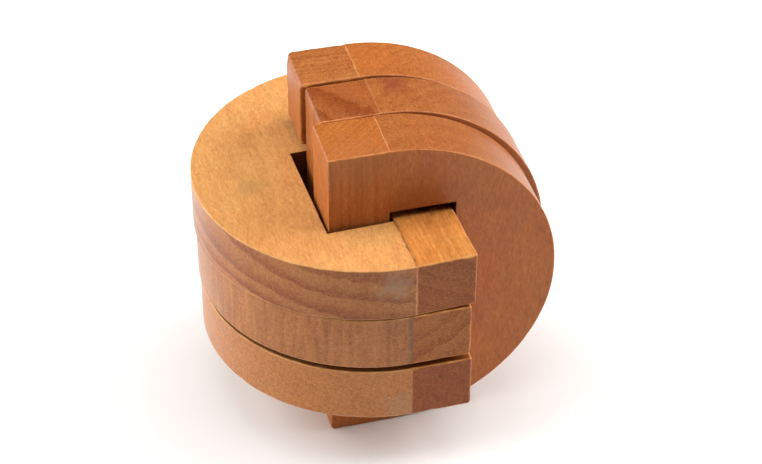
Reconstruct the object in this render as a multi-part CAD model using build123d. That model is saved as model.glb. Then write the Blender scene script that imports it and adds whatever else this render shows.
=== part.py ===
from build123d import *
import math
import os

# Round six-plate interlocking puzzle.  Three flat plates lie in a stack and three upright
# plates stand side by side.  Each plate is a C: a half-round board with an opening in its
# straight side, and two small blocks glued to the ends of that side.  One block is long
# and hooks round the first plate it crosses, which is what locks the puzzle.
#
# Frame: +X runs towards the round ends of the upright plates, +Y to the rear and +Z up.
# The origin is under the middle of the bounding box, on the surface the puzzle stands on.

# ---- driving dimensions, millimetres ----
PLATE = 10.0            # thickness of the board that all six plates are cut from
CELL = 11.0             # room for one plate where plates cross, play included
LEG = 12.0              # solid wood above and below the crossing
BLOCK = 10.0            # width of the glued blocks
EDGE_ROUND = 0.5        # edges taken off by hand sanding
HOOK_PLAY = 1.0         # the hook stops this much short of the next plate's cell
SETBACK = 1.0           # the closed cell's face is cut back so that plates can pass

# ---- worked out from them ----
CORE = 3 * CELL                         # the crossing is three cells each way
RADIUS = CORE / 2 + LEG                 # round outline of every plate
OPENING = 2 * CELL                      # cells left open in a plate's straight side
HOOK_LENGTH = LEG + CELL - HOOK_PLAY    # long block, from the outline to the hook's end

# ---- where each plate rests, measured from the centre of the crossing ----
# slid: how far the plate sits to +X of centre.
FRONT_UPRIGHT_SLID = -0.3
MIDDLE_UPRIGHT_SLID = 0.9
REAR_UPRIGHT_SLID = 0.2
TOP_FLAT_SLID = -0.25
MIDDLE_FLAT_SLID = 0.15
BOTTOM_FLAT_SLID = 0.45
TOP_FLAT_TURN = 2.3                     # degrees; the loose top plate lies slightly askew
FRONT_GAP = 0.3                         # the uprights are pushed to the front of the crossing
UPRIGHT_GAP = 0.2                       # between the front and the middle upright
REAR_GAP = 0.7                          # between the middle and the rear upright
FLOOR_GAP = 0.4                         # the bottom flat lies low in the crossing
FLAT_GAP = 1.0                          # between the bottom and the middle flat
STACK_GAP = 0.1                         # the top flat lies on the middle one

# The box is measured over the whole puzzle; the askew top plate's rear block is its rear end.
TURN = math.radians(TOP_FLAT_TURN)
RIGHT_END = max(FRONT_UPRIGHT_SLID, MIDDLE_UPRIGHT_SLID, REAR_UPRIGHT_SLID) + RADIUS
LEFT_END = min(TOP_FLAT_SLID, MIDDLE_FLAT_SLID, BOTTOM_FLAT_SLID) - RADIUS
REAR_END = RADIUS * math.cos(TURN) + (BLOCK - EDGE_ROUND) * math.sin(TURN)
FRONT_END = -RADIUS
CENTRE_X = -(RIGHT_END + LEFT_END) / 2  # puts the origin under the middle of the box
CENTRE_Y = -(REAR_END + FRONT_END) / 2
CENTRE_Z = RADIUS                       # the centre of the crossing, above the surface

FRONT_UPRIGHT_Y = CENTRE_Y - CORE / 2 + FRONT_GAP + PLATE / 2
MIDDLE_UPRIGHT_Y = FRONT_UPRIGHT_Y + PLATE + UPRIGHT_GAP
REAR_UPRIGHT_Y = MIDDLE_UPRIGHT_Y + PLATE + REAR_GAP
BOTTOM_FLAT_Z = CENTRE_Z - CORE / 2 + FLOOR_GAP + PLATE / 2
MIDDLE_FLAT_Z = BOTTOM_FLAT_Z + PLATE + FLAT_GAP
TOP_FLAT_Z = MIDDLE_FLAT_Z + PLATE + STACK_GAP


# ---- one plate, in its own frame ----
# The glue line is the plane x = 0, the round board lies at x < 0 and the blocks at x > 0.
# The hook is at the -y end, and z is the thickness, centred on the board.
def sanded(solid, edges):
    return fillet(edges, EDGE_ROUND)


def half_round():
    """Half-round board with the two-cell opening in its straight side."""
    disc = Circle(RADIUS)
    left_half = Pos(-RADIUS, 0) * Rectangle(2 * RADIUS, 2 * RADIUS)
    opening = Pos(-CELL / 2, -CORE / 2 + OPENING / 2) * Rectangle(CELL, OPENING)
    closed_cell = Pos(-SETBACK / 2, CORE / 2 - CELL / 2) * Rectangle(SETBACK, CELL)
    board = extrude((disc & left_half) - opening - closed_cell, PLATE / 2, both=True)
    return sanded(board, board.edges().filter_by(GeomType.CIRCLE))


def block(length, near_end):
    """Glued block: runs in y from near_end, sanded on every edge off the glue line."""
    solid = Pos(BLOCK / 2, near_end + length / 2, 0) * Box(BLOCK, length, PLATE)
    off_the_glue = [edge for edge in solid.edges() if edge.center().X > EDGE_ROUND]
    return sanded(solid, off_the_glue)


def hook_block():
    """Long block that reaches past the leg and closes the first cell."""
    return block(HOOK_LENGTH, -RADIUS)


def plain_block():
    """Short block that only lengthens the other leg."""
    return block(LEG, RADIUS - LEG)


# ---- how a plate is turned in the puzzle ----
def flat(slid, height, hook_at_front, turn=0.0):
    facing = (0, 0, 1) if hook_at_front else (0, 0, -1)
    place = Plane(origin=(CENTRE_X + slid, CENTRE_Y, height), x_dir=(1, 0, 0), z_dir=facing)
    return place.rotated((0, 0, turn))


def upright(slid, depth, hook_at_top):
    facing = (0, -1, 0) if hook_at_top else (0, 1, 0)
    return Plane(origin=(CENTRE_X + slid, depth, CENTRE_Z), x_dir=(-1, 0, 0), z_dir=facing)


PLATES = {
    "top_flat": flat(TOP_FLAT_SLID, TOP_FLAT_Z, True, TOP_FLAT_TURN),
    "middle_flat": flat(MIDDLE_FLAT_SLID, MIDDLE_FLAT_Z, True),
    "bottom_flat": flat(BOTTOM_FLAT_SLID, BOTTOM_FLAT_Z, False),
    "front_upright": upright(FRONT_UPRIGHT_SLID, FRONT_UPRIGHT_Y, True),
    "middle_upright": upright(MIDDLE_UPRIGHT_SLID, MIDDLE_UPRIGHT_Y, True),
    "rear_upright": upright(REAR_UPRIGHT_SLID, REAR_UPRIGHT_Y, False),
}

PIECES = {
    "half_round": half_round,
    "hook_block": hook_block,
    "plain_block": plain_block,
}

os.makedirs("parts", exist_ok=True)
for plate_name, place in PLATES.items():
    for piece_name, make in PIECES.items():
        export_step(place * make(), f"parts/{plate_name}_{piece_name}.step")
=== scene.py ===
import math
import random

import bpy
from mathutils import Matrix, Vector, noise
from mathutils.geometry import delaunay_2d_cdt


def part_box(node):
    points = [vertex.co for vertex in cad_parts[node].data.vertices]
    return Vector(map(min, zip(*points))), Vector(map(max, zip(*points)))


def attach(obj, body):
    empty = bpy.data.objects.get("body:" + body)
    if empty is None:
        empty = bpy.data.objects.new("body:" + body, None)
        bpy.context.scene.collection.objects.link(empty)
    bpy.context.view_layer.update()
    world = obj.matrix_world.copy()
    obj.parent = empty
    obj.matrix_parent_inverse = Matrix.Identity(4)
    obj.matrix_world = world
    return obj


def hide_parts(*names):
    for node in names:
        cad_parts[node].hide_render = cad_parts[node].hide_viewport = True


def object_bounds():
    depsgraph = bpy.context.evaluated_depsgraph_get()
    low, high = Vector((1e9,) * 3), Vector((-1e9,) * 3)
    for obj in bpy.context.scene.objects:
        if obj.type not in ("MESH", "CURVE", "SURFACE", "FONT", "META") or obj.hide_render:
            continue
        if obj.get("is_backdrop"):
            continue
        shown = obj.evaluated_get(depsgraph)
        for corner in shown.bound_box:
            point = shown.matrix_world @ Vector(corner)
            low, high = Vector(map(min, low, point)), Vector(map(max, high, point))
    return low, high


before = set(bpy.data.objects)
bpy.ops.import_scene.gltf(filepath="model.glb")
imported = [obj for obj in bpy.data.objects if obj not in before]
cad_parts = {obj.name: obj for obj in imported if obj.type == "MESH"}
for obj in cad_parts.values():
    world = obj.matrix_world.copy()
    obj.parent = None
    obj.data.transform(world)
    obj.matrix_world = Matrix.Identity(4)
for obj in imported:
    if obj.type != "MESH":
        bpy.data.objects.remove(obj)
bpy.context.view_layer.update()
MM = 0.001

# ---------------------------------------------------------------- sizes, from the frame
PLATES = ("top_flat", "middle_flat", "bottom_flat",
          "front_upright", "middle_upright", "rear_upright")
PIECES = ("half_round", "hook_block", "plain_block")
TOP_FLAT_TURN = math.radians(2.3)       # the top plate lies askew in the CAD model too


def size(node):
    low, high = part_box(node)
    return (high - low) / MM


def is_flat(plate):
    return plate.endswith("_flat")


PLATE = size("middle_flat_half_round").z
RADIUS = size("middle_flat_half_round").x
BLOCK = size("middle_flat_hook_block").x
HOOK = size("middle_flat_hook_block").y
LEG = size("middle_flat_plain_block").y
CORE = 2 * (RADIUS - LEG)
CELL = CORE / 3
SETBACK = 1.0                           # the closed cell's face, back from the glue line


def placement(plate):
    """Matrix from a plate's own frame, in millimetres, to the row frame.

    In its own frame the glue line is x = 0, the round board is at x < 0, the blocks are at
    x > 0, the hook is at the -y end, the grain runs along y and z is the thickness.
    """
    low, high = (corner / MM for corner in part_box(plate + "_half_round"))
    hook_low, _ = (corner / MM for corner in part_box(plate + "_hook_block"))
    middle = (low + high) / 2
    if is_flat(plate):
        centre = Vector((low.x + RADIUS, low.y + RADIUS, middle.z))
        flip = hook_low.y > centre.y - CELL
        axes = ((1, 0, 0), (0, -1, 0), (0, 0, -1)) if flip else ((1, 0, 0), (0, 1, 0), (0, 0, 1))
    else:
        centre = Vector((high.x - RADIUS, middle.y, middle.z))
        flip = hook_low.z < centre.z - CELL
        axes = ((-1, 0, 0), (0, 0, 1), (0, 1, 0)) if flip else ((-1, 0, 0), (0, 0, -1), (0, -1, 0))
    turned = Matrix(axes).transposed().to_4x4()
    if plate == "top_flat":
        turned = Matrix.Rotation(TOP_FLAT_TURN, 4, "Z") @ turned
    return Matrix.Scale(MM, 4) @ Matrix.Translation(centre) @ turned


# ---------------------------------------------------------------- piece meshes
STEP = 0.4                              # spacing of points along an outline, mm
GRID = 1.3                              # spacing of points inside a flat face, mm
ROUND_STEPS = 4                         # rings across a rounded edge
EDGE_MARGIN = 0.08                      # strip beside a rounded edge that keeps its shading in
WALL_RINGS = 9                          # rings up the side wall
GLUE_ROUND = 0.03                       # groove left along a glue line
SAWN_ROUND = 0.15                       # barely broken edge inside an opening
HAND_ROUND = 0.32                       # sanded outer edge
RIM_ROUND = 0.26                        # edge of the round rim
CORNER_STEPS = 6                        # points round a corner that is rounded in plan
RIM_WOBBLE = 0.10                       # how far hand sanding dips into the outline
FACE_WOBBLE = 0.035                     # and into the flat faces
MEAN_DIP = 0.5                          # share of the wobble sanded off on average
RIM_RIPPLE = (0.35, 3.2)                # change about that average: share, and mm across
RIM_SWELL = (0.4, 9.0)
FACE_SWELL = (0.6, 8.0)
GLUE_STRIP = 0.3                        # strip beside the glue line that is not sanded
EDGE_WANDER = (0.40, 5.0)               # slow change of an edge's radius: share, and mm across
EDGE_FLUTTER = (0.22, 1.1)              # quick change on top of it
DINGS = 5                               # small knocks along each outline, on each side
DING = 0.6                              # how much wider an edge is at a knock
DING_REACH = 0.7                        # how far along the edge a knock reaches, mm
DING_END = 3.0                          # beyond this a knock is nothing, mm
RUB_AND_HIGHLIGHT_START = 0.06                        # an edge this sharp gets no rubbed paleness and no painted highlight at all, mm
RUB_AND_HIGHLIGHT_FULL = 0.18                         # and one this round gets both fully, mm
FILL_TOLERANCE = 1e-6                   # for joining points when a face is filled, mm


class Corner:
    """Outline corner: place, radius in plan, and edge radii (upper, lower) of what follows."""

    def __init__(self, x, y, plan=0.0, edge=HAND_ROUND, arc=False):
        self.at = Vector((x, y))
        self.plan = plan
        self.edge = edge if isinstance(edge, tuple) else (edge, edge)
        self.arc = arc


class Sample:
    """Point of an outline, with the way in from its edge and the height of the rounding.

    Both are pairs, for the edge of the upper face and that of the lower face.
    """

    def __init__(self, at, inward, rise, sharp=False):
        self.at = at
        self.inward = inward
        self.rise = rise
        self.sharp = sharp


def outward(a, b):
    along = (b - a).normalized()
    return Vector((along.y, -along.x))


def along_wall(at, normal, edge):
    return Sample(at, [-normal * radius for radius in edge], list(edge))


def at_corner(corner, before, into, out):
    inward = [-into * b - out * c for b, c in zip(before.edge, corner.edge)]
    rise = [max(b, c) for b, c in zip(before.edge, corner.edge)]
    return Sample(corner.at, inward, rise, sharp=True)


def stretch(start, end, edge):
    """Samples strictly between two corners of a straight stretch."""
    count = max(2, round((end - start).length / STEP))
    normal = outward(start, end)
    return [along_wall(start.lerp(end, i / count), normal, edge) for i in range(1, count)]


def rim(edge):
    """The round outline from (0, R) by (-R, 0) to (0, -R), ends left out."""
    count = round(math.pi * RADIUS / STEP)
    samples = []
    for i in range(1, count):
        angle = math.pi / 2 + math.pi * i / count
        normal = Vector((math.cos(angle), math.sin(angle)))
        samples.append(along_wall(normal * RADIUS, normal, edge))
    return samples


def rounded(corner, before, into, out):
    """Convex corner rounded in plan: an arc of samples, ends included."""
    centre = corner.at - (into + out) * corner.plan
    samples = []
    for i in range(CORNER_STEPS + 1):
        share = i / CORNER_STEPS
        angle = math.pi / 2 * share
        normal = into * math.cos(angle) + out * math.sin(angle)
        edge = [b + (c - b) * share for b, c in zip(before.edge, corner.edge)]
        samples.append(along_wall(centre + normal * corner.plan, normal, edge))
    return samples


def trimmed(corner, towards):
    return (towards - corner.at).normalized() * corner.plan if corner.plan else Vector((0, 0))


def outline_samples(corners):
    samples = []
    for index, corner in enumerate(corners):
        before = corners[index - 1]
        after = corners[(index + 1) % len(corners)]
        into = Vector((0, -1)) if before.arc else outward(before.at, corner.at)
        out = Vector((0, 1)) if corner.arc else outward(corner.at, after.at)
        if corner.plan > 0:
            samples += rounded(corner, before, into, out)
        else:
            samples.append(at_corner(corner, before, into, out))
        if corner.arc:
            samples += rim(corner.edge)
        else:
            samples += stretch(corner.at + trimmed(corner, after.at),
                               after.at + trimmed(after, corner.at), corner.edge)
    return samples


def board_outline():
    half, cell = CORE / 2, CELL
    glued, sawn = GLUE_ROUND, SAWN_ROUND
    return [
        Corner(0, RADIUS, edge=RIM_ROUND, arc=True),
        Corner(0, -RADIUS, edge=glued),
        Corner(0, -half, edge=sawn),
        Corner(-cell, -half, edge=sawn),
        Corner(-cell, half - cell, edge=sawn),
        Corner(-SETBACK, half - cell, edge=sawn),
        Corner(-SETBACK, half, edge=sawn),
        Corner(0, half, edge=glued),
    ]


def block_outline(low, high, plan, side):
    """Block at x > 0: plan radius of its two free corners, edge radii of its free side."""
    return [
        Corner(0, low, edge=HAND_ROUND),
        Corner(BLOCK, low, plan=plan[0], edge=side),
        Corner(BLOCK, high, plan=plan[1], edge=HAND_ROUND),
        Corner(0, high, edge=GLUE_ROUND),
    ]


def smooth_noise(point, scale, seed):
    """Noise from -1 to 1 with features about scale mm across."""
    shifted = Vector(point) / scale + Vector((seed * 7.31, seed * 3.17, seed * 5.77))
    return noise.noise(shifted)


def vary_edges(samples, seed):
    """Lets the hand-rounded edges wander: broader here, crisper there, with a few dings."""
    rng = random.Random(seed)
    for side in (0, 1):
        dings = [rng.randrange(len(samples)) for _ in range(DINGS)]
        for i, sample in enumerate(samples):
            if sample.rise[side] <= GLUE_ROUND:
                continue
            place = (sample.at.x, sample.at.y, 50.0 * side)     # far apart, so the sides differ
            slow, quick = EDGE_WANDER, EDGE_FLUTTER
            factor = 1.0 + slow[0] * smooth_noise(place, slow[1], seed)
            factor += quick[0] * smooth_noise(place, quick[1], seed + 3)
            for ding in dings:
                apart = abs(i - ding) * STEP
                if apart < DING_END:
                    factor += DING * math.exp(-((apart / DING_REACH) ** 2))
            sample.inward[side] = sample.inward[side] * factor
            sample.rise[side] = sample.rise[side] * factor


def face_grid(outline):
    """Points and triangles that fill a closed outline, on a grid set in from it."""
    xs = [p.x for p in outline]
    ys = [p.y for p in outline]
    inner = []
    x = min(xs) + GRID / 2
    while x < max(xs):
        y = min(ys) + GRID / 2
        while y < max(ys):
            if clear_of(outline, x, y):
                inner.append(Vector((x, y)))
            y += GRID
        x += GRID
    count = len(outline)
    edges = [(i, (i + 1) % count) for i in range(count)]
    inside_only = 1                         # Blender's code for keeping what the outline encloses
    filled = delaunay_2d_cdt(list(outline) + inner, edges, [list(range(count))], inside_only,
                             FILL_TOLERANCE)
    return filled[0], filled[2]


def clear_of(outline, x, y):
    """True inside the outline and at least half a grid step from it."""
    inside = False
    count = len(outline)
    near = (GRID * 0.5) ** 2
    for i in range(count):
        a, b = outline[i], outline[(i + 1) % count]
        if (a.x - x) ** 2 + (a.y - y) ** 2 < near:
            return False
        if (a.y > y) != (b.y > y) and x < (b.x - a.x) * (y - a.y) / (b.y - a.y) + a.x:
            inside = not inside
    return inside


def rub_and_highlight_share(radius):
    """How rubbed an edge is, and how much painted highlight it gets: nothing along a glue line,
    fully where it was rounded by hand.
    """
    return min(1.0, max(0.0, (radius - RUB_AND_HIGHLIGHT_START) / (RUB_AND_HIGHLIGHT_FULL - RUB_AND_HIGHLIGHT_START)))


def edge_rings(samples, side):
    """Rings over one rounded edge, from the flat face to the wall.

    The first and last lie just off the rounding, so that its shading stays inside it.  Each
    vertex is (x, y, z, paleness, wall): how pale it is painted, for rubbing and a painted
    highlight, and how far it has turned to the wall.
    """
    up = 1 - 2 * side
    half = PLATE / 2
    on_face = [s.at + s.inward[side] + s.inward[side].normalized() * EDGE_MARGIN for s in samples]
    rings = [[(*at, up * half, 0.0, 0.0) for at in on_face]]
    for i in range(ROUND_STEPS + 1):
        turn = math.pi / 2 * (1 - i / ROUND_STEPS)
        # the paleness peaks halfway round the edge: partly rubbed wood, partly a painted highlight
        way_in, drop, rub = 1 - math.cos(turn), 1 - math.sin(turn), math.sin(2 * turn)
        rings.append([(*(s.at + s.inward[side] * way_in), up * (half - s.rise[side] * drop),
                       rub * rub_and_highlight_share(s.rise[side]), math.cos(turn)) for s in samples])
    rings.append([(*s.at, up * (half - s.rise[side] - EDGE_MARGIN), 0.0, 1.0) for s in samples])
    return rings


def wall_rings(samples):
    """Rings of vertices from the upper face's edge, down the wall, to the lower one."""
    upper, lower = edge_rings(samples, 0), edge_rings(samples, 1)
    between = []
    for i in range(1, WALL_RINGS):
        share = i / WALL_RINGS
        between.append([(*low[:2], high[2] * (1 - share) + low[2] * share, 0.0, 1.0)
                        for high, low in zip(upper[-1], lower[-1])])
    return upper + between + lower[::-1]


def fill_face(verts, faces, ring, first, z, turn):
    """Closes one flat face inside its edge ring, whose vertices start at index first."""
    count = len(ring)
    base = len(verts)
    points, triangles = face_grid([Vector(vertex[:2]) for vertex in ring])
    verts += [(p.x, p.y, z, 0.0, 0.0) for p in points[count:]]
    for triangle in triangles:
        ids = [first + v if v < count else base + v - count for v in triangle]
        faces.append(tuple(reversed(ids)) if turn else tuple(ids))


def build_mesh(name, corners, seed, round_board):
    """Closed mesh of a board or block, in the plate's own frame, with its grain attributes."""
    samples = outline_samples(corners)
    vary_edges(samples, seed)
    count = len(samples)
    rings = wall_rings(samples)
    verts = [point for ring in rings for point in ring]
    faces = []
    for r in range(len(rings) - 1):
        for i in range(count):
            j = (i + 1) % count
            a, b = r * count, (r + 1) * count
            faces.append((a + i, b + i, b + j, a + j))
    fill_face(verts, faces, rings[0], 0, PLATE / 2, False)
    fill_face(verts, faces, rings[-1], (len(rings) - 1) * count, -PLATE / 2, True)
    mesh = bpy.data.meshes.new(name)
    mesh.from_pydata([v[:3] for v in verts], [], faces)
    mesh.validate()
    for polygon in mesh.polygons:
        polygon.use_smooth = True
    on_rings = len(rings) * count
    for edge in mesh.edges:
        a, b = edge.vertices
        up_the_wall = max(a, b) < on_rings and a % count == b % count
        if up_the_wall and samples[a % count].sharp:
            edge.use_edge_sharp = True

    def attribute(label, kind, field, values):
        mesh.attributes.new(label, kind, "POINT").data.foreach_set(field, values)

    flat_part = [0.0] * (len(verts) - on_rings)
    way_round = [i * STEP for _ in rings for i in range(count)] + flat_part
    across = [abs(s.inward[0].normalized().y) for s in samples] * len(rings) + flat_part
    wall = [v[4] for v in verts]
    end = wall if round_board else [w * a for w, a in zip(wall, across)]
    # paleness of the edges: rubbed wood and a painted highlight
    attribute("wear_and_highlight", "FLOAT", "value", [v[3] for v in verts])
    attribute("grain", "FLOAT_VECTOR", "vector", [c for v in verts for c in v[:3]])
    attribute("wall", "FLOAT", "value", wall)
    attribute("end", "FLOAT", "value", end)
    attribute("way_round", "FLOAT", "value", way_round)
    return mesh


def sand(mesh, seed):
    """Presses slight unevenness into the faces and the rim, only ever inwards."""
    normals = [v.normal.copy() for v in mesh.vertices]
    for vertex, normal in zip(mesh.vertices, normals):
        place = vertex.co
        if abs(place.x) < GLUE_STRIP:
            continue
        fine, broad, flat = RIM_RIPPLE, RIM_SWELL, FACE_SWELL
        rim_dip = MEAN_DIP + fine[0] * smooth_noise(place, fine[1], seed)
        rim_dip += broad[0] * smooth_noise(place, broad[1], seed + 1)
        face_dip = MEAN_DIP + flat[0] * smooth_noise(place, flat[1], seed + 2)
        across = abs(normal.z)
        depth = (1 - across) * RIM_WOBBLE * max(rim_dip, 0)
        depth += across * FACE_WOBBLE * max(face_dip, 0)
        vertex.co = place - normal * depth


def make_piece(plate, kind, seed, shape, material):
    node = f"{plate}_{kind}"
    if kind == "half_round":
        corners = board_outline()
    elif kind == "hook_block":
        corners = block_outline(-RADIUS, -RADIUS + HOOK, *shape)
    else:
        corners = block_outline(RADIUS - LEG, RADIUS, *shape)
    mesh = build_mesh(node + "_wood", corners, seed, kind == "half_round")
    sand(mesh, PLATES.index(plate))
    mesh.transform(placement(plate))
    mesh.update()
    mesh.materials.append(material)
    piece = bpy.data.objects.new(node + "_wood", mesh)
    bpy.context.scene.collection.objects.link(piece)
    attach(piece, plate)
    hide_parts(node)


# ---------------------------------------------------------------- wood
class Shader:
    """Short calls for building a node tree."""

    def __init__(self, name):
        self.material = bpy.data.materials.new(name)
        self.material.use_nodes = True
        self.tree = self.material.node_tree
        self.tree.nodes.clear()

    def put(self, socket, value):
        if isinstance(value, bpy.types.NodeSocket):
            self.tree.links.new(value, socket)
        elif value is not None:
            socket.default_value = value

    def node(self, kind, **settings):
        made = self.tree.nodes.new(kind)
        for key, value in settings.items():
            setattr(made, key, value)
        return made

    def attribute(self, name, output="Fac"):
        return self.node("ShaderNodeAttribute", attribute_name=name).outputs[output]

    def math(self, operation, a, b=None, c=None):
        made = self.node("ShaderNodeMath", operation=operation)
        for socket, value in zip(made.inputs, (a, b, c)):
            self.put(socket, value)
        return made.outputs[0]

    def times(self, *values):
        total = values[0]
        for value in values[1:]:
            total = self.math("MULTIPLY", total, value)
        return total

    def plus(self, *values):
        total = values[0]
        for value in values[1:]:
            total = self.math("ADD", total, value)
        return total

    def vector(self, operation, a, b=None):
        made = self.node("ShaderNodeVectorMath", operation=operation)
        self.put(made.inputs[0], a)
        if b is not None:
            self.put(made.inputs[1], b)
        return made.outputs["Value"] if operation in ("LENGTH", "DISTANCE") else made.outputs[0]

    def split(self, vector):
        made = self.node("ShaderNodeSeparateXYZ")
        self.put(made.inputs[0], vector)
        return made.outputs

    def join(self, x, y, z):
        made = self.node("ShaderNodeCombineXYZ")
        for socket, value in zip(made.inputs, (x, y, z)):
            self.put(socket, value)
        return made.outputs[0]

    def noise(self, vector, detail=2.0, roughness=0.5):
        made = self.node("ShaderNodeTexNoise")
        self.put(made.inputs["Vector"], vector)
        made.inputs["Scale"].default_value = 1.0
        made.inputs["Detail"].default_value = detail
        made.inputs["Roughness"].default_value = roughness
        return made.outputs[0]

    def spread(self, value, low, high, to_low=0.0, to_high=1.0, smooth=True):
        made = self.node("ShaderNodeMapRange")
        made.interpolation_type = "SMOOTHSTEP" if smooth else "LINEAR"
        for socket, number in zip(made.inputs, (value, low, high, to_low, to_high)):
            self.put(socket, number)
        return made.outputs[0]

    def swing(self, value, amount):
        """A noise value turned into something from -amount to amount."""
        return self.spread(value, 0.25, 0.75, -amount, amount, smooth=False)

    def mix(self, share, a, b):
        made = self.node("ShaderNodeMix", data_type="RGBA", blend_type="MIX")
        for socket, value in zip((made.inputs[0], made.inputs[6], made.inputs[7]), (share, a, b)):
            self.put(socket, value if not isinstance(value, tuple) else (*value, 1.0))
        return made.outputs[2]

    def tone(self, colour, amount):
        """Multiplies a colour by an amount; darker wood is redder too."""
        green, blue = self.math("POWER", amount, 1.25), self.math("POWER", amount, 1.4)
        return self.vector("MULTIPLY", colour, self.join(amount, green, blue))


class Timber:
    """What makes one piece's wood its own."""

    def __init__(self, face, end, pith, spacing=2.6, rings=0.10, face_rings=0.03,
                 streak=0.03, chatter=0.03, speck=0.16, pores=0.04, blotch=0.06, warp=0.5,
                 glue_rim=None, glue_face=None, glue_width=0.11, glue_strength=0.7,
                 rub_and_highlight=(1.35, 1.55, 1.9), bloom=0.0, gap_shade=(0.0, 0.0), marks=()):
        self.face = face                # linear colour of the long grain
        self.end = end                  # and of the end grain
        self.pith = pith                # centre of the growth rings in (x, z), mm
        self.spacing = spacing          # growth ring spacing, mm
        self.rings = rings              # contrast of the rings on the rim and the ends
        self.face_rings = face_rings    # and on the flat faces
        self.streak = streak            # contrast of long streaks on the faces
        self.chatter = chatter          # contrast of the marks left across the rim
        self.speck = speck              # contrast of the fine flecks everywhere
        self.pores = pores              # darkness of the open pores
        self.blotch = blotch            # contrast of soft light and dark areas
        self.warp = warp                # how far the rings wander, in ring spacings
        self.glue_rim = glue_rim        # colour of the glue line on the rim
        self.glue_face = glue_face      # colour of the glue line on the flat faces
        self.glue_width = glue_width    # half its width, mm
        self.glue_strength = glue_strength      # how much of it shows, 0 to 1
        self.rub_and_highlight = rub_and_highlight            # how much paler the edges are painted, per channel, for rubbing and a painted highlight
        self.bloom = bloom              # weight of the pale sheen seen at a low angle
        self.gap_shade = gap_shade              # painted shade along the rim of the upper and lower face, in the gaps between plates
        self.marks = marks              # (centre, reach, colour, strength) of stains, and of patches of painted shade and painted sheen


# Noise patterns: features per mm across the grain and along it, octaves, roughness.
FLECKS = (4.6, 1.2, 1.0, 0.6)           # short flecks on long grain
DOTS = (4.4, 4.2, 1.0, 0.6)             # the same vessels cut across, on end grain
LONG_GRIT = (1.9, 0.5, 1.0, 0.6)
ROUND_GRIT = (1.8, 1.7, 1.0, 0.6)
PORES = (5.2, 1.6, 0.0, 0.5)
STREAKS = (1.3, 0.035, 3.0, 0.6)
CLOUDS = (0.42, 0.20, 2.0, 0.5)
BLOTCHES = (0.085, 0.05, 3.0, 0.55)
YELLOWING = (0.16, 0.10, 2.0, 0.5)
# patches of the pale edges, rubbed wood and painted highlight
RUB_AND_HIGHLIGHT_PATCHES = (0.5, 0.4, 2.0, 0.5)
GLUE_WANDER = (1.2, 0.9, 1.0, 0.5)
GLUE_PATCHES = (0.6, 0.5, 2.0, 0.5)
MARK_EDGE = (0.9, 0.9, 3.0, 0.5)
RING_WARP = (0.06, 0.02, 2.0, 0.5)
RING_RIPPLE = (0.5, 0.1, 2.0, 0.5)

TURNED = (0.25, 0.95)                   # where a face turns from long grain to end grain or wall
LATE_WOOD = (0.3, 0.95)                 # part of a ring that is darker and redder
PIECE_SHIFT = (17.3, 41.9, 23.1)        # moves the noise for each piece, per seed
GRIT_SHARE = 0.65                       # contrast of the grit, as a share of the flecks'
END_FLECK_GAIN = 1.55                   # how much stronger flecks are on end grain
END_GRIT_GAIN = 1.5
CLOUD_CONTRAST = 0.04
CHATTER_PITCH = 1.15                    # cutter marks per mm round the rim
DEEPER = (1.0, 0.86, 0.72)              # tint of late wood
YELLOWER = (0.99, 1.07, 1.12)           # tint of the paler areas
GAP_SHADE_BAND = (2.6, 0.5)                 # painted shade in the gaps between plates starts and is full this far in from the rim, mm
INNER_WALLS = (3.0, 6.0)                # the same for the end grain inside the opening
INNER_SHADE = 0.5                       # how much darker that end grain is
BUMP_DEPTH = 0.03 * MM
BUMP_STRENGTH = 0.6
ROUGHNESS = (0.34, 0.46)
BOARD_SHINE = 0.25                      # specular level
BLOCK_SHINE = 0.18
SHEEN_ROUGHNESS = 0.35


def drawn_out(s, place, pattern):
    """Noise drawn out along the grain."""
    across, along, detail, roughness = pattern
    return s.noise(s.vector("MULTIPLY", place, (across, along, across)), detail, roughness)


def growth_rings(s, timber, own, x, z, seed):
    """Value from 0 to 1 per place: pale early wood that darkens towards each ring's end."""
    dx = s.math("SUBTRACT", x, timber.pith[0])
    dz = s.math("SUBTRACT", z, timber.pith[1])
    radius = s.vector("LENGTH", s.join(dx, 0.0, dz))
    warp = s.swing(drawn_out(s, own, RING_WARP), timber.spacing * timber.warp)
    ripple = s.swing(drawn_out(s, own, RING_RIPPLE), timber.spacing * 0.12)
    bent = s.plus(radius, warp, ripple)
    uneven = s.noise(s.join(s.times(bent, 0.5 / timber.spacing), seed * 3.7, 0.0), 1.0)
    phase = s.plus(s.times(bent, 1 / timber.spacing), s.swing(uneven, 0.5))
    ring = s.math("FRACT", phase)
    late = s.times(s.spread(ring, 0.1, 0.88), s.spread(ring, 0.99, 0.90))
    each = s.noise(s.join(s.times(s.math("FLOOR", phase), 7.77), seed * 1.3, 0.0), 0.0)
    return s.plus(s.times(late, 0.7), s.spread(each, 0.3, 0.7, 0.0, 0.3))


def darkened(s, colour, amount):
    return s.tone(colour, s.math("SUBTRACT", 1.0, amount))


def with_marks(s, colour, timber, grain, own):
    """Stains, and patches of painted shade and painted sheen, with ragged edges."""
    for centre, reach, tint, strength in timber.marks:
        away = s.vector("DISTANCE", grain, centre)
        ragged = s.plus(away, s.swing(drawn_out(s, own, MARK_EDGE), reach * 0.5))
        share = s.spread(ragged, reach * 1.35, reach * 0.2, 0.0, strength)
        colour = s.mix(share, colour, tint)
    return colour


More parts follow.
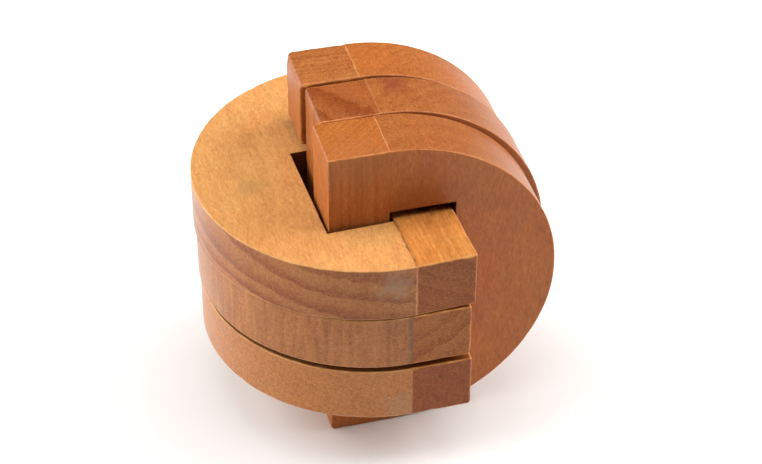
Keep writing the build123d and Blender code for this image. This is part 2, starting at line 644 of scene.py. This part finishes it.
def with_rub_and_highlight(s, colour, timber, own):
    # pale rounded edges: partly rubbed wood, partly a painted highlight where they catch the light
    wear_and_highlight = s.attribute("wear_and_highlight")
    pale = tuple(min(0.9, c * lift) for c, lift in zip(timber.face, timber.rub_and_highlight))
    uneven = s.spread(drawn_out(s, own, RUB_AND_HIGHLIGHT_PATCHES), 0.35, 0.65, 0.4, 0.95)
    return s.mix(s.times(wear_and_highlight, uneven), colour, pale)


def with_glue_line(s, colour, timber, own, x, wall):
    """Patchy line of glue where a block meets its board, at x = 0."""
    wander = s.swing(drawn_out(s, own, GLUE_WANDER), 0.10)
    ragged = s.plus(s.math("ABSOLUTE", x), wander)
    near = s.spread(ragged, timber.glue_width * 1.6, timber.glue_width * 0.4)
    strength = timber.glue_strength
    patchy = s.spread(drawn_out(s, own, GLUE_PATCHES), 0.35, 0.6, strength * 0.4, strength)
    on_rim = s.spread(wall, 0.3, 0.7)
    on_face = s.math("SUBTRACT", 1.0, on_rim)
    for tint, where in ((timber.glue_rim, on_rim), (timber.glue_face, on_face)):
        if tint:
            colour = s.mix(s.times(near, patchy, where), colour, tint)
    return colour


def wood(name, timber, seed, round_board):
    s = Shader(name)
    grain = s.attribute("grain", "Vector")
    end = s.attribute("end")
    wall = s.attribute("wall")
    own = s.vector("ADD", grain, tuple(seed * shift for shift in PIECE_SHIFT))
    x, y, z = s.split(grain)
    on_end = s.spread(end, *TURNED)
    on_wall = s.spread(wall, *TURNED)
    off_end = s.math("SUBTRACT", 1.0, on_end)
    off_wall = s.math("SUBTRACT", 1.0, on_wall)

    # how light the wood is, from place to place
    band = growth_rings(s, timber, own, x, z, seed)
    contrast = s.spread(on_wall, 0.0, 1.0, timber.face_rings, timber.rings, smooth=False)
    fine = s.mix(on_end, drawn_out(s, own, FLECKS), drawn_out(s, own, DOTS))
    grit = s.mix(on_end, drawn_out(s, own, LONG_GRIT), drawn_out(s, own, ROUND_GRIT))
    pore = s.spread(drawn_out(s, own, PORES), 0.60, 0.72)
    streak = drawn_out(s, own, STREAKS)
    cloud = drawn_out(s, own, CLOUDS)
    blotch = drawn_out(s, own, BLOTCHES)
    round_rim = s.times(s.attribute("way_round"), CHATTER_PITCH)
    chatter = s.noise(s.join(round_rim, s.times(z, 0.10), seed * 5.1), 2.0)
    fleck_gain = s.spread(on_end, 0.0, 1.0, 1.0, END_FLECK_GAIN, smooth=False)
    grit_gain = s.spread(on_end, 0.0, 1.0, 1.0, END_GRIT_GAIN, smooth=False)
    light = s.plus(
        1.0 + 0.25 * timber.rings,
        s.times(band, contrast, -1.0),
        s.times(s.swing(fine, timber.speck), fleck_gain),
        s.times(pore, -timber.pores),
        s.times(s.swing(streak, timber.streak), off_end),
        s.times(s.swing(chatter, timber.chatter), on_wall),
        s.times(s.swing(grit, timber.speck * GRIT_SHARE), grit_gain),
        s.swing(cloud, CLOUD_CONTRAST),
        s.swing(blotch, timber.blotch),
    )

    # its colour
    colour = s.mix(on_end, timber.face, timber.end)
    deep = s.vector("MULTIPLY", colour, DEEPER)
    colour = s.mix(s.times(s.spread(band, *LATE_WOOD), contrast, 2.5), colour, deep)
    yellow = s.vector("MULTIPLY", colour, YELLOWER)
    yellowed = s.spread(drawn_out(s, own, YELLOWING), 0.42, 0.62, 0.0, 0.8)
    colour = s.mix(yellowed, colour, yellow)
    colour = s.tone(colour, light)

    # painted shade: in the gaps along the rims of the flat faces, and on the end grain inside the
    # opening
    from_middle = s.math("ABSOLUTE", y)
    if round_board:
        from_middle = s.vector("LENGTH", s.join(x, y, 0.0))
    near_rim = s.spread(from_middle, *(RADIUS - inset for inset in GAP_SHADE_BAND))
    gap_shade_share = s.spread(z, -1.0, 1.0, timber.gap_shade[1], timber.gap_shade[0])
    colour = darkened(s, colour, s.times(near_rim, off_wall, gap_shade_share))
    inside = s.times(s.spread(from_middle, *(RADIUS - inset for inset in INNER_WALLS)), on_end)
    colour = darkened(s, colour, s.times(inside, INNER_SHADE))

    colour = with_marks(s, colour, timber, grain, own)
    colour = with_rub_and_highlight(s, colour, timber, own)
    colour = with_glue_line(s, colour, timber, own, x, wall)

    height = s.plus(s.times(fine, 0.8), s.times(pore, -0.5), s.times(chatter, on_wall, 0.8))
    bump = s.node("ShaderNodeBump")
    bump.inputs["Strength"].default_value = BUMP_STRENGTH
    bump.inputs["Distance"].default_value = BUMP_DEPTH
    s.put(bump.inputs["Height"], height)

    rough = s.spread(s.plus(fine, s.times(cloud, 0.6)), 0.45, 1.15, *ROUGHNESS)
    surface = s.node("ShaderNodeBsdfPrincipled")
    s.put(surface.inputs["Base Color"], colour)
    s.put(surface.inputs["Roughness"], rough)
    s.put(surface.inputs["Normal"], bump.outputs[0])
    surface.inputs["Specular IOR Level"].default_value = BOARD_SHINE if round_board else BLOCK_SHINE
    surface.inputs["Sheen Weight"].default_value = timber.bloom
    surface.inputs["Sheen Roughness"].default_value = SHEEN_ROUGHNESS
    out = s.node("ShaderNodeOutputMaterial")
    s.put(out.inputs[0], surface.outputs[0])
    return s.material


# ---------------------------------------------------------------- the puzzle
CREAM = (0.56, 0.26, 0.10)              # glue lines
UMBER = (0.10, 0.033, 0.012)
SLATE = (0.19, 0.078, 0.034)
RESIDUE = (0.34, 0.21, 0.12)            # stains
OLIVE = (0.36, 0.19, 0.055)
# painted shade on the top flat, at the foot of the rear upright
FOOT_SHADE = (0.30, 0.14, 0.055)
SHADE = (0.10, 0.033, 0.010)            # dark patch painted where a hook passes under a plate

# Tones of the wood: long grain, then end grain, then stains and patches of painted shade and
# painted sheen.  A short palette, guided by colours fitted to the photograph's averages.
HONEY = (0.49, 0.21, 0.06)
AMBER = (0.45, 0.16, 0.035)
CHESTNUT = (0.40, 0.115, 0.025)
RUSSET = (0.35, 0.105, 0.025)
STRAW_END = (0.43, 0.15, 0.035)
OAT_END = (0.36, 0.125, 0.032)
COPPER_END = (0.35, 0.10, 0.018)
TAN_END = (0.32, 0.10, 0.025)
RUST_END = (0.30, 0.087, 0.018)
BROWN_END = (0.27, 0.080, 0.022)
DARK_END = (0.25, 0.066, 0.016)
DEEP_RED = (0.17, 0.03, 0.012)
# painted shade, redder as with light bounced off the flat below, beside the front upright's slot
SLOT_SHADE = (0.27, 0.066, 0.012)
# painted sheen: a greyish tint as of the pale surround reflected on the block's front face
PAINTED_SHEEN = (0.30, 0.105, 0.042)

LIGHT_RUB_AND_HIGHLIGHT = (1.4, 1.7, 2.2)             # how much paler a flat plate's block edges are painted, for rubbing and a painted highlight
STRONG_RUB_AND_HIGHLIGHT = (1.6, 2.0, 2.6)            # and an upright plate's
GAP_SHADED = (0.55, 0.55)                    # painted shade on the upper and the lower face, in the gaps between plates
GAP_SHADED_BELOW = (0, 0.55)                 # nothing lies on the top flat, so its upper face gets no painted shade

TIMBERS = {
    "top_flat": {
        "half_round": Timber(
            HONEY, OAT_END, (10, 100), bloom=0.30, gap_shade=GAP_SHADED_BELOW, spacing=3.1, rings=0.42,
            warp=0.3, face_rings=0.02, streak=0.06, glue_rim=CREAM, glue_face=UMBER,
            glue_width=0.15, glue_strength=0.9,
            # the second mark is painted shade at the foot of the rear upright
            marks=[((-19.6, -1.3, 5), 2.8, OLIVE, 0.5), ((-10.0, 14.5, 5), 2.6, FOOT_SHADE, 0.2),
                   ((-3.6, -28.3, 1.5), 3.0, RESIDUE, 0.55)]),
        "hook_block": Timber(
            AMBER, BROWN_END, (-30, -60), gap_shade=GAP_SHADED_BELOW, rub_and_highlight=LIGHT_RUB_AND_HIGHLIGHT, spacing=2.4,
            rings=0.18, streak=0.24, glue_rim=CREAM, glue_face=UMBER, glue_width=0.15,
            glue_strength=0.9, marks=[((6.0, -11.8, 5.0), 4.5, SHADE, 0.85)]),
        "plain_block": Timber(
            HONEY, BROWN_END, (-40, 60), gap_shade=GAP_SHADED_BELOW, rub_and_highlight=LIGHT_RUB_AND_HIGHLIGHT),
    },
    "middle_flat": {
        "half_round": Timber(
            HONEY, OAT_END, (0, -120), bloom=0.30, gap_shade=GAP_SHADED, rings=0.05, chatter=0.20,
            glue_rim=SLATE, glue_width=0.50, glue_strength=0.95),
        "hook_block": Timber(
            AMBER, TAN_END, (-50, 70), gap_shade=GAP_SHADED, rub_and_highlight=LIGHT_RUB_AND_HIGHLIGHT, spacing=3.6,
            rings=0.26, glue_rim=SLATE, glue_width=0.25, glue_strength=0.95),
        "plain_block": Timber(
            AMBER, BROWN_END, (30, 60), gap_shade=GAP_SHADED, rub_and_highlight=LIGHT_RUB_AND_HIGHLIGHT),
    },
    "bottom_flat": {
        "half_round": Timber(
            HONEY, STRAW_END, (-60, 90), bloom=0.30, gap_shade=GAP_SHADED, spacing=1.3, rings=0.08,
            pores=0.06, marks=[((-2.0, 28.3, 2.5), 3.0, RESIDUE, 0.35)]),
        "hook_block": Timber(
            AMBER, BROWN_END, (30, 60), gap_shade=GAP_SHADED, rub_and_highlight=LIGHT_RUB_AND_HIGHLIGHT),
        "plain_block": Timber(
            AMBER, DARK_END, (-40, 60), gap_shade=GAP_SHADED, rub_and_highlight=LIGHT_RUB_AND_HIGHLIGHT, rings=0.10),
    },
    "front_upright": {
        "half_round": Timber(
            CHESTNUT, RUST_END, (-10, 90), bloom=0.10, spacing=3.4, rings=0.10, glue_rim=CREAM,
            # painted shade beside the slot
            marks=[((-5.0, -18.0, 5.0), 7.0, SLOT_SHADE, 0.5)]),
        "hook_block": Timber(
            CHESTNUT, COPPER_END, (75, -80), rub_and_highlight=STRONG_RUB_AND_HIGHLIGHT, spacing=0.75, rings=0.19,
            # painted sheen on the block's front face
            streak=0.18, glue_rim=CREAM, marks=[((5.0, -28.0, 5.0), 8.0, PAINTED_SHEEN, 0.35)]),
        "plain_block": Timber(
            CHESTNUT, RUST_END, (30, -60), rub_and_highlight=STRONG_RUB_AND_HIGHLIGHT),
    },
    "middle_upright": {
        "half_round": Timber(
            RUSSET, RUST_END, (-40, 60), bloom=0.10, rings=0.12, glue_rim=CREAM,
            glue_strength=0.3, marks=[((-4.3, -28.5, -3.5), 3.2, DEEP_RED, 0.6)]),
        "hook_block": Timber(
            RUSSET, DARK_END, (58, 48), rub_and_highlight=STRONG_RUB_AND_HIGHLIGHT, spacing=4.6, rings=0.34,
            glue_rim=CREAM, glue_strength=0.3),
        "plain_block": Timber(
            RUSSET, DARK_END, (30, -60), rub_and_highlight=STRONG_RUB_AND_HIGHLIGHT),
    },
    "rear_upright": {
        "half_round": Timber(
            RUSSET, COPPER_END, (-60, -60), bloom=0.10, spacing=1.4, rings=0.10,
            glue_rim=CREAM),
        "hook_block": Timber(
            RUSSET, RUST_END, (30, 60), rub_and_highlight=STRONG_RUB_AND_HIGHLIGHT),
        "plain_block": Timber(
            RUSSET, TAN_END, (0, 90), rub_and_highlight=STRONG_RUB_AND_HIGHLIGHT, spacing=1.25, rings=0.18,
            glue_rim=CREAM),
    },
}

# per plate, hook block then plain block: plan radii of the two free corners, and the edge
# radii (upper, lower) of the free side, mm, all given one by one
SHAPES = {
    "top_flat": (((0.5, 0.4), (0.35, 0.85)), ((0.5, 0.6), (0.4, 0.4))),
    "middle_flat": (((0.6, 0.5), (0.80, 0.40)), ((0.5, 0.9), (0.4, 0.4))),
    "bottom_flat": (((0.5, 0.6), (0.4, 0.4)), ((0.6, 0.5), (0.4, 0.55))),
    "front_upright": (((0.4, 0.5), (0.35, 0.35)), ((0.5, 0.6), (0.4, 0.4))),
    "middle_upright": (((0.6, 0.5), (0.4, 0.45)), ((0.5, 0.7), (0.4, 0.4))),
    "rear_upright": (((0.6, 0.5), (0.4, 0.5)), ((0.5, 0.9), (1.1, 0.4))),
}


def build_puzzle():
    seed = 1
    for plate in PLATES:
        for kind in PIECES:
            timber = TIMBERS[plate][kind]
            material = wood(f"{plate}_{kind}_grain", timber, seed, kind == "half_round")
            shape = SHAPES[plate][0 if kind == "hook_block" else 1]
            make_piece(plate, kind, seed, shape, material)
            seed += 1


# ---------------------------------------------------------------- studio
FLOOR_RADIUS = 0.55                     # metres
PAPER = (0.80, 0.79, 0.78)              # its colour
PAPER_ROUGHNESS = 0.9


def aim(obj, target):
    obj.rotation_euler = (target - obj.location).to_track_quat("-Z", "Y").to_euler()


def softbox(name, place, target, width, height, power):
    lamp = bpy.data.lights.new(name, "AREA")
    lamp.shape = "RECTANGLE"
    lamp.size = width
    lamp.size_y = height
    lamp.energy = power
    obj = bpy.data.objects.new(name, lamp)
    bpy.context.scene.collection.objects.link(obj)
    obj.location = place
    aim(obj, target)


def studio():
    low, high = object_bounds()
    middle = (low + high) / 2
    bpy.ops.mesh.primitive_circle_add(vertices=96, radius=FLOOR_RADIUS, fill_type="NGON",
                                      location=(middle.x, middle.y, low.z))
    floor = bpy.context.object
    floor.name = "floor"
    paper = bpy.data.materials.new("floor_paper")
    paper.use_nodes = True
    surface = paper.node_tree.nodes["Principled BSDF"]
    surface.inputs["Base Color"].default_value = (*PAPER, 1)
    surface.inputs["Roughness"].default_value = PAPER_ROUGHNESS
    floor.data.materials.append(paper)
    floor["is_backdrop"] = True

    softboxes = {                       # place from the middle of the puzzle, size, watts
        "overhead": ((0, 0, 0.60), (0.50, 0.50), 2.4),
        "left_low": ((-0.60, 0, 0.12), (0.50, 0.35), 0.6),
        "left_high": ((-0.45, 0, 0.40), (0.40, 0.40), 2.5),
        "left_rear": ((-0.40, 0.40, 0.20), (0.40, 0.40), 3.0),
        "right_low": ((0.60, 0, 0.12), (0.50, 0.35), 3.6),
        "right_high": ((0.45, 0, 0.40), (0.40, 0.40), 3.0),
    }
    for name, (place, extent, power) in softboxes.items():
        softbox(name, middle + Vector(place), middle, *extent, power)

    world = bpy.data.worlds.new("studio")
    world.use_nodes = True
    backdrop = world.node_tree.nodes["Background"]
    backdrop.inputs["Color"].default_value = (1.0, 1.0, 1.0, 1)
    backdrop.inputs["Strength"].default_value = 1.0
    world.cycles_visibility.diffuse = False     # the pale surround is only seen: the softboxes
    world.cycles_visibility.glossy = False      # do all the lighting
    bpy.context.scene.world = world
    bpy.context.scene.view_settings.view_transform = "Standard"


# the photograph's viewpoint, fitted to the corners and round outlines seen in it
AZIMUTH = math.radians(-15.19)
ELEVATION = math.radians(38.76)
ROLL = math.radians(0.32)
DISTANCE = 0.3655                       # metres, from the point looked at
LENS = 102.5                            # focal length, mm
NEAREST = 0.01                          # nothing closer than this is drawn, metres
ASIDE = Vector((2.36, -0.15)) * MM      # point looked at: right of, and above, the box's middle


def camera():
    low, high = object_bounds()
    middle = (low + high) / 2
    level = math.cos(ELEVATION)
    back = Vector((level * math.sin(AZIMUTH), -level * math.cos(AZIMUTH), math.sin(ELEVATION)))
    right = Vector((math.cos(AZIMUTH), math.sin(AZIMUTH), 0))
    up = back.cross(right)
    data = bpy.data.cameras.new("camera")
    data.lens = LENS
    data.clip_start = NEAREST
    obj = bpy.data.objects.new("camera", data)
    bpy.context.scene.collection.objects.link(obj)
    turned = Matrix((right, up, back)).transposed().to_4x4() @ Matrix.Rotation(ROLL, 4, "Z")
    target = middle + right * ASIDE.x + up * ASIDE.y
    obj.matrix_world = Matrix.Translation(target + back * DISTANCE) @ turned
    bpy.context.scene.camera = obj


build_puzzle()
studio()
camera()
